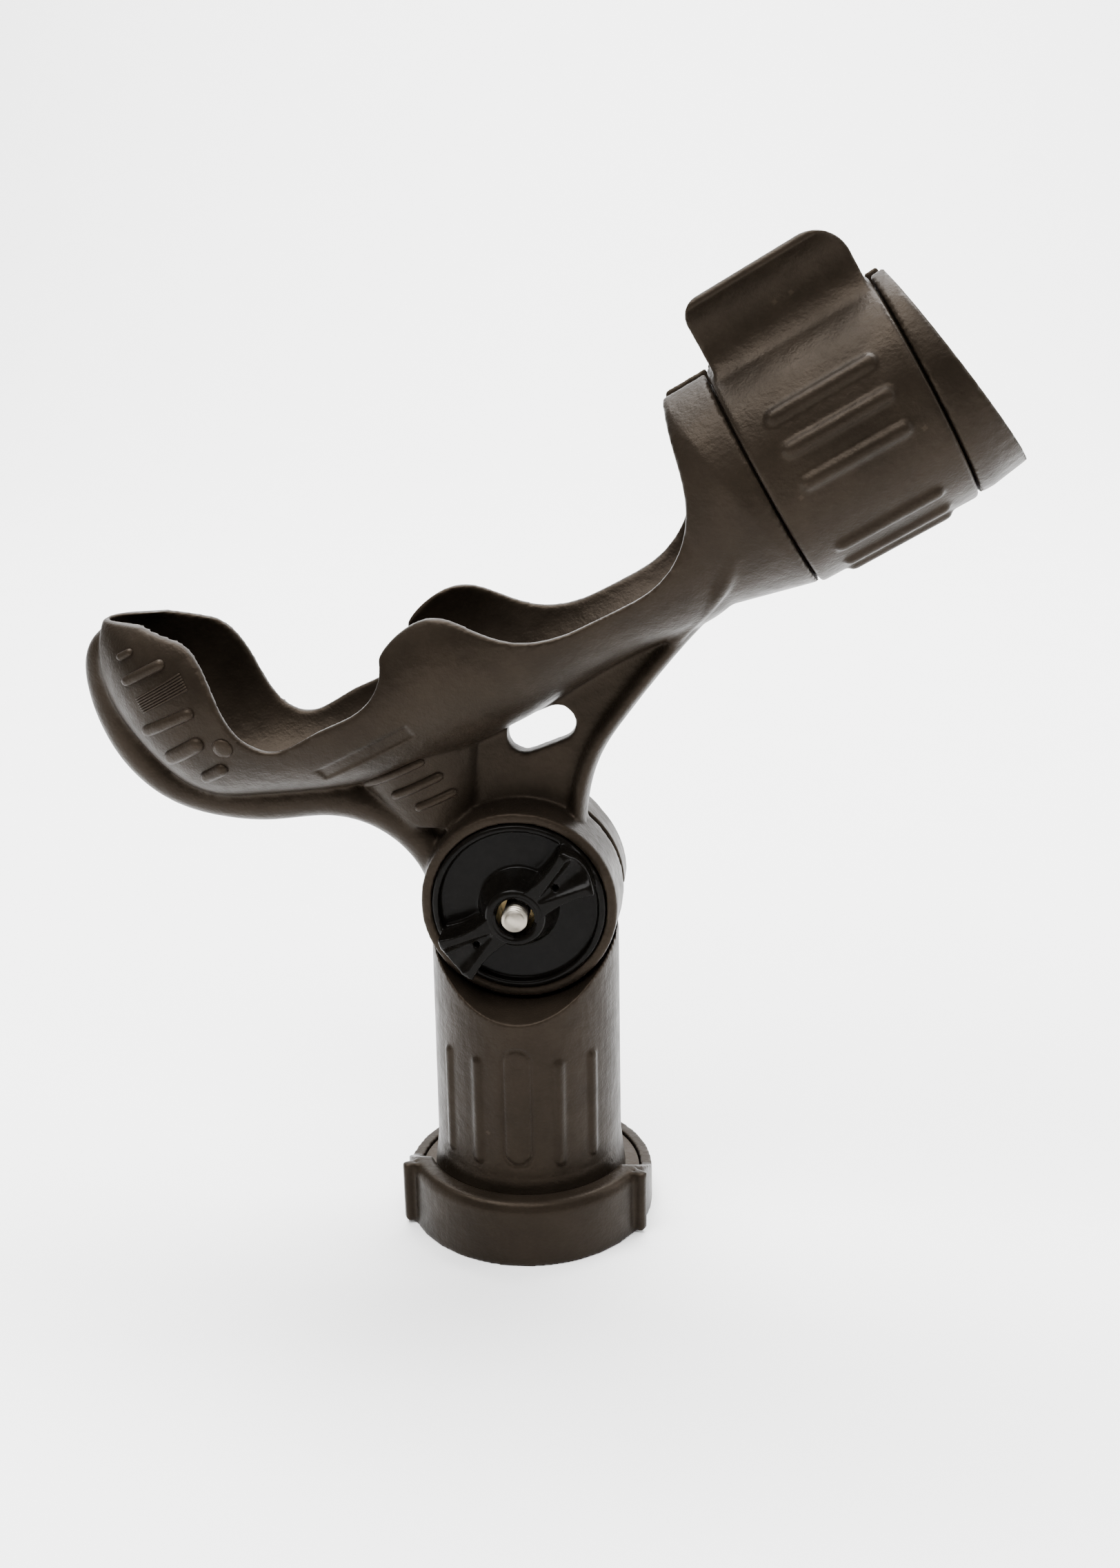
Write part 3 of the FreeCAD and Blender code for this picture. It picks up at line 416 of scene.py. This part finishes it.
def knob_rim():
    """The rounded rim around the bolt's well on top of the knob's hub."""
    segments = 64
    section = 16
    bm = bmesh.new()
    rings = []
    for k in range(segments + 1):
        turn = FULL_TURN * k / segments
        ring = []
        for n in range(section):
            roll = FULL_TURN * n / section
            reach = KNOB_RIM_R + KNOB_RIM_THICKNESS_R * math.cos(roll)
            y = KNOB_RIM_Y + KNOB_RIM_THICKNESS_R * math.sin(roll)
            place = Vector((reach * math.cos(turn), y, reach * math.sin(turn)))
            ring.append(bm.verts.new(HINGE + place * MM))
        rings.append(ring)
    join_rings(bm, rings)
    bmesh.ops.remove_doubles(bm, verts=bm.verts, dist=WELD_M)
    bmesh.ops.recalc_face_normals(bm, faces=bm.faces)
    return finish_piece(new_piece("knob_rim", bm), "knob", KNOB, "knob_plastic")


knob_rim()


# ---------------------------------------------------------------- bolt

THREAD_PITCH = 1.411
THREAD_DEPTH = 0.75
THREAD_CREST_R = 3.97
THREAD_LENGTH = 24.0
THREAD_SEGMENTS = 48
THREAD_ROWS_PER_TURN = 8
TIP_LENGTH = 0.9
TIP_SHARE = 0.82
HEAD_THICKNESS = 5.5
HEAD_FLATS = 12.7
HEAD_CHAMFER = 0.6
HEAD_CHAMFER_INSET = 0.9


def hex_ring(bm, flats, y, inset=0.0):
    """Six corners round the bolt's axis, at y in metres."""
    radius = (flats / math.sqrt(3.0) - inset) * MM
    verts = []
    for k in range(6):
        turn = math.radians(60 * k)
        corner = Vector((radius * math.cos(turn), y, radius * math.sin(turn)))
        verts.append(bm.verts.new(HINGE + corner))
    return verts


def thread_ring(bm, y, tip_y, thread_end_y):
    """One row of the thread, at y in metres, tapering at the tip and fading into the shank."""
    pitch = THREAD_PITCH * MM
    fade = min(1.0, max(0.0, (thread_end_y - y) / pitch))
    tip = min(1.0, (y - tip_y) / (TIP_LENGTH * MM))
    taper = TIP_SHARE + (1.0 - TIP_SHARE) * tip
    ring = []
    for k in range(THREAD_SEGMENTS):
        turn = FULL_TURN * k / THREAD_SEGMENTS
        phase = (y / pitch - turn / FULL_TURN) % 1.0
        dip = abs(2.0 * phase - 1.0)
        radius = (THREAD_CREST_R - THREAD_DEPTH * dip * fade) * taper * MM
        place = (HINGE.x + radius * math.cos(turn), y, HINGE.z + radius * math.sin(turn))
        ring.append(bm.verts.new(place))
    return ring


def threaded_bolt():
    """The tilt bolt with its rolled thread and hexagon head."""
    low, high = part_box("tilt_bolt")
    head_y = high.y - HEAD_THICKNESS * MM
    step = THREAD_PITCH * MM / THREAD_ROWS_PER_TURN
    rows = round((head_y - low.y) / step)
    bm = bmesh.new()
    rings = []
    for row in range(rows + 1):
        rings.append(thread_ring(bm, low.y + row * step, low.y, low.y + THREAD_LENGTH * MM))
    join_rings(bm, rings)
    bm.faces.new(rings[0])
    levels = [
        hex_ring(bm, HEAD_FLATS, head_y),
        hex_ring(bm, HEAD_FLATS, high.y - HEAD_CHAMFER * MM),
        hex_ring(bm, HEAD_FLATS, high.y, HEAD_CHAMFER_INSET),
    ]
    join_rings(bm, levels)
    bm.faces.new(levels[0])
    bm.faces.new(levels[-1])
    bmesh.ops.recalc_face_normals(bm, faces=bm.faces)
    return finish_piece(new_piece("tilt_bolt_threaded", bm), "post", STEEL, "bolt_steel", "tilt_bolt")


threaded_bolt()

for node, material in (
    ("tilt_spring", SPRING_STEEL),
    ("knob_nut", BRASS),
    ("knob_washer", STEEL),
    ("ring_spring", SPRING_STEEL),
    ("ring_retainer", RING_NYLON),
):
    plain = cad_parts[node]
    for slot in plain.material_slots:
        slot.material = material

# ---------------------------------------------------------------- studio and camera

OBJECT_MIDDLE = (0.0, 0.0, 0.16)
WALL_FOOT = (0.0, 1.5, 0.3)

# Name, place, aim, size, power in watts.
LIGHTS = (
    ("key", (-0.45, -0.35, 1.3), OBJECT_MIDDLE, (0.7, 0.7), 30.0),
    ("side", (1.1, 0.05, 0.75), OBJECT_MIDDLE, (0.4, 1.0), 12.0),
    ("fill", (0.1, -0.8, 1.35), OBJECT_MIDDLE, (0.9, 0.5), 16.0),
    ("wash", (0.0, 0.9, 2.2), WALL_FOOT, (2.6, 1.2), 260.0),
)

WORLD_LIGHT_COLOUR = (1.0, 0.98, 0.95, 1.0)
WORLD_LIGHT_STRENGTH = 0.3
WORLD_SEEN_COLOUR = (1.0, 1.0, 1.0, 1.0)
WORLD_SEEN_STRENGTH = 1.6

FLOOR_HALF_WIDTH = 4.0
FLOOR_FRONT_Y = -4.0
FLOOR_BEND_Y = 1.3
FLOOR_BEND_R = 0.9
FLOOR_BEND_STEPS = 24
WALL_TOP = 4.0
FLOOR_SHADE = (0.90, 0.90, 0.90)
FLOOR_LIGHT_SHADE = (0.93, 0.93, 0.93)

# The fitted view: the camera's place from the hinge as x, z, y in mm, and its directions.
CAMERA_PLACE = (60.0, 192.9, -468.8)
CAMERA_RIGHT = (0.9951, 0.0978, -0.0141)
CAMERA_AHEAD = (-0.0972, 0.9429, -0.3185)
CAMERA_LENS = 37.04
CAMERA_SENSOR_HEIGHT = 36.0


def area_light(name, place, aim, size, power):
    data = bpy.data.lights.new(name, "AREA")
    data.shape = "RECTANGLE"
    data.size, data.size_y = size
    data.energy = power
    light = bpy.data.objects.new(name, data)
    light.location = place
    light.rotation_euler = (Vector(aim) - Vector(place)).to_track_quat("-Z", "Y").to_euler()
    bpy.context.collection.objects.link(light)


def backdrop():
    """A pale floor that sweeps up into a wall behind the object."""
    profile = [(FLOOR_FRONT_Y, 0.0)]
    for k in range(FLOOR_BEND_STEPS + 1):
        turn = math.pi / 2 * k / FLOOR_BEND_STEPS
        y = FLOOR_BEND_Y + FLOOR_BEND_R * math.sin(turn)
        profile.append((y, FLOOR_BEND_R * (1.0 - math.cos(turn))))
    profile.append((FLOOR_BEND_Y + FLOOR_BEND_R, WALL_TOP))
    bm = bmesh.new()
    rows = []
    for y, z in profile:
        rows.append([bm.verts.new((x, y, z)) for x in (-FLOOR_HALF_WIDTH, FLOOR_HALF_WIDTH)])
    for first, second in zip(rows, rows[1:]):
        bm.faces.new((first[0], first[1], second[1], second[0]))
    floor = new_piece("floor", bm)
    for polygon in floor.data.polygons:
        polygon.use_smooth = True
    nodes = Nodes("floor_pale")
    tone = nodes.mix(nodes.noise(60.0), FLOOR_SHADE, FLOOR_LIGHT_SHADE)
    nodes.link(tone, nodes.shader.inputs["Base Color"])
    nodes.set(Roughness=0.95, Specular_IOR_Level=0.1)
    floor.data.materials.append(nodes.material)


def studio_world():
    """Dim surroundings for the light, with white behind the floor wherever a view looks past it."""
    world = bpy.data.worlds.new("studio")
    world.use_nodes = True
    tree = world.node_tree
    light = tree.nodes["Background"]
    light.inputs["Color"].default_value = WORLD_LIGHT_COLOUR
    light.inputs["Strength"].default_value = WORLD_LIGHT_STRENGTH
    behind = tree.nodes.new("ShaderNodeBackground")
    behind.inputs["Color"].default_value = WORLD_SEEN_COLOUR
    behind.inputs["Strength"].default_value = WORLD_SEEN_STRENGTH
    path = tree.nodes.new("ShaderNodeLightPath")
    choose = tree.nodes.new("ShaderNodeMixShader")
    tree.links.new(path.outputs["Is Camera Ray"], choose.inputs["Fac"])
    tree.links.new(light.outputs["Background"], choose.inputs[1])
    tree.links.new(behind.outputs["Background"], choose.inputs[2])
    tree.links.new(choose.outputs["Shader"], tree.nodes["World Output"].inputs["Surface"])
    bpy.context.scene.world = world


def studio():
    backdrop()
    studio_world()
    for light in LIGHTS:
        area_light(*light)


def camera():
    """The view of the photograph, placed from the hinge."""
    data = bpy.data.cameras.new("camera")
    data.sensor_fit = "VERTICAL"
    data.sensor_height = CAMERA_SENSOR_HEIGHT
    data.lens = CAMERA_LENS
    right = Vector(CAMERA_RIGHT).normalized()
    ahead = Vector(CAMERA_AHEAD).normalized()
    up = right.cross(ahead).normalized()
    right = ahead.cross(up)
    turn = Matrix((right, up, -ahead)).transposed().to_4x4()
    seat = bpy.data.objects.new("camera", data)
    seat.matrix_world = Matrix.Translation(from_hinge(*CAMERA_PLACE)) @ turn
    bpy.context.collection.objects.link(seat)
    bpy.context.scene.camera = seat


studio()
camera()
